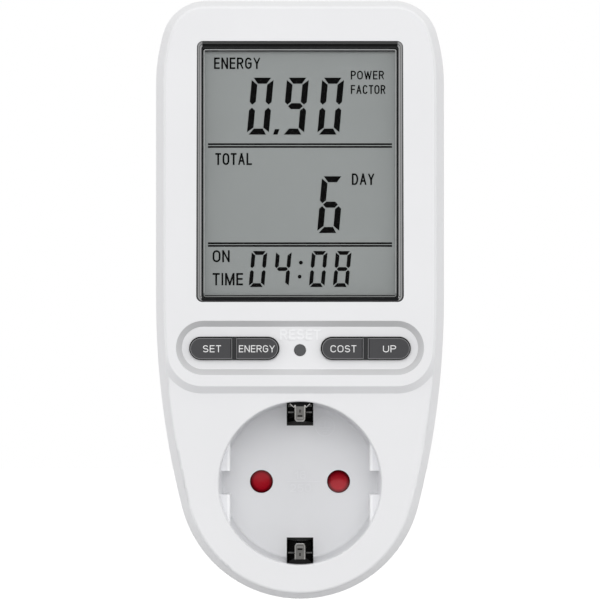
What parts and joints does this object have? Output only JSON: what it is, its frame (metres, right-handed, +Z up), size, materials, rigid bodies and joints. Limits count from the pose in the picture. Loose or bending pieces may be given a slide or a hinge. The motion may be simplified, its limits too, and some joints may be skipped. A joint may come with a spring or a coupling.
{
  "type": "plug-in energy monitor",
  "caption": "Plug-through mains energy monitor with a large display and keys above a shuttered, earthed socket, and an earthed plug behind.",
  "frame": {"origin": "centre of the plug's face, on the line through the plug and the socket", "axes": "+Z up towards the display, -Y out of the front, +Y along the plug's pins into the wall"},
  "size_m": [0.0712, 0.0788, 0.1478],
  "materials": {
    "white_case": "satin white moulding",
    "white_socket": "satin white moulding",
    "white_inner": "plain white moulding",
    "dark_frame": "dark grey, satin",
    "clear_lens": "clear window",
    "lcd_glass": "grey reflective display",
    "grey_elastomer": "layered elastomer",
    "green_board": "solder-resist laminate",
    "dark_key": "dark grey, matte",
    "grey_key": "grey, matte",
    "black_switch": "black moulding",
    "red_shutter": "red moulding",
    "spring_steel": "drawn wire",
    "bronze_contact": "rolled bronze strip",
    "nickel_pin": "nickel-plated brass",
    "nickel_strip": "nickel-plated strip",
    "nickel_clip": "nickel-plated spring strip",
    "yellow_capacitor": "moulded box",
    "aluminium_can": "drawn can",
    "blue_varistor": "dipped resin",
    "brown_resistor": "lacquered body",
    "black_diode": "moulded body",
    "green_battery": "shrunk sleeve",
    "grey_cable": "flat ribbon",
    "brown_lead": "insulated wire",
    "blue_lead": "insulated wire",
    "zinc_screw": "zinc-plated"
  },
  "bodies": {
    "case": {"front_cover": "white_case", "rear_cover": "white_case", "socket_cup": "white_socket", "display_frame": "dark_frame", "display_lens": "clear_lens", "lcd_glass": "lcd_glass", "lcd_holder": "white_inner", "lcd_contact_strip": "grey_elastomer", "display_board": "green_board", "key_dividers": "dark_key", "key_switches": "black_switch", "shutter_cage": "white_inner", "shutter_spring": "spring_steel", "line_contact": "bronze_contact", "neutral_contact": "bronze_contact", "line_pin": "nickel_pin", "neutral_pin": "nickel_pin", "pin_retainer": "white_inner", "upper_earth_strip": "nickel_strip", "lower_earth_strip": "nickel_strip", "upper_earth_clip": "nickel_clip", "lower_earth_clip": "nickel_clip", "power_board": "green_board", "foil_capacitor": "yellow_capacitor", "smoothing_capacitors": "aluminium_can", "varistor": "blue_varistor", "fuse_resistor": "brown_resistor", "rectifier_diodes": "black_diode", "current_shunt": "bronze_contact", "metering_chip": "black_switch", "backup_battery": "green_battery", "controller": "black_switch", "clock_crystal": "aluminium_can", "ribbon_cable": "grey_cable", "line_supply_lead": "brown_lead", "line_load_lead": "brown_lead", "neutral_lead": "blue_lead", "case_screws": "zinc_screw", "display_board_screws": "zinc_screw", "power_board_screws": "zinc_screw", "cup_screws": "zinc_screw"},
    "set_button": {"set_key": "dark_key", "set_plunger": "black_switch"},
    "energy_button": {"energy_key": "dark_key", "energy_plunger": "black_switch"},
    "cost_button": {"cost_key": "dark_key", "cost_plunger": "black_switch"},
    "up_button": {"up_key": "dark_key", "up_plunger": "black_switch"},
    "reset_button": {"reset_key": "grey_key", "reset_plunger": "black_switch"},
    "shutter": {"safety_shutter": "red_shutter"}
  },
  "joints": [
    {"name": "set_press", "type": "slide", "parent": "case", "child": "set_button", "axis": [0, 1, 0], "range_m": [0, 0.0006], "stiffness_N_per_m": 500, "springref_m": -0.0003},
    {"name": "energy_press", "type": "slide", "parent": "case", "child": "energy_button", "axis": [0, 1, 0], "range_m": [0, 0.0006], "stiffness_N_per_m": 500, "springref_m": -0.0003},
    {"name": "cost_press", "type": "slide", "parent": "case", "child": "cost_button", "axis": [0, 1, 0], "range_m": [0, 0.0006], "stiffness_N_per_m": 500, "springref_m": -0.0003},
    {"name": "up_press", "type": "slide", "parent": "case", "child": "up_button", "axis": [0, 1, 0], "range_m": [0, 0.0006], "stiffness_N_per_m": 500, "springref_m": -0.0003},
    {"name": "reset_press", "type": "slide", "parent": "case", "child": "reset_button", "axis": [0, 1, 0], "range_m": [0, 0.0005], "stiffness_N_per_m": 500, "springref_m": -0.0003},
    {"name": "shutter_turn", "type": "hinge", "parent": "case", "child": "shutter", "pos_m": [0, -0.03655, 0], "axis": [0, 1, 0], "range_deg": [0, 38], "stiffness_Nm_per_rad": 0.002, "springref_deg": -17.19}
  ]
}
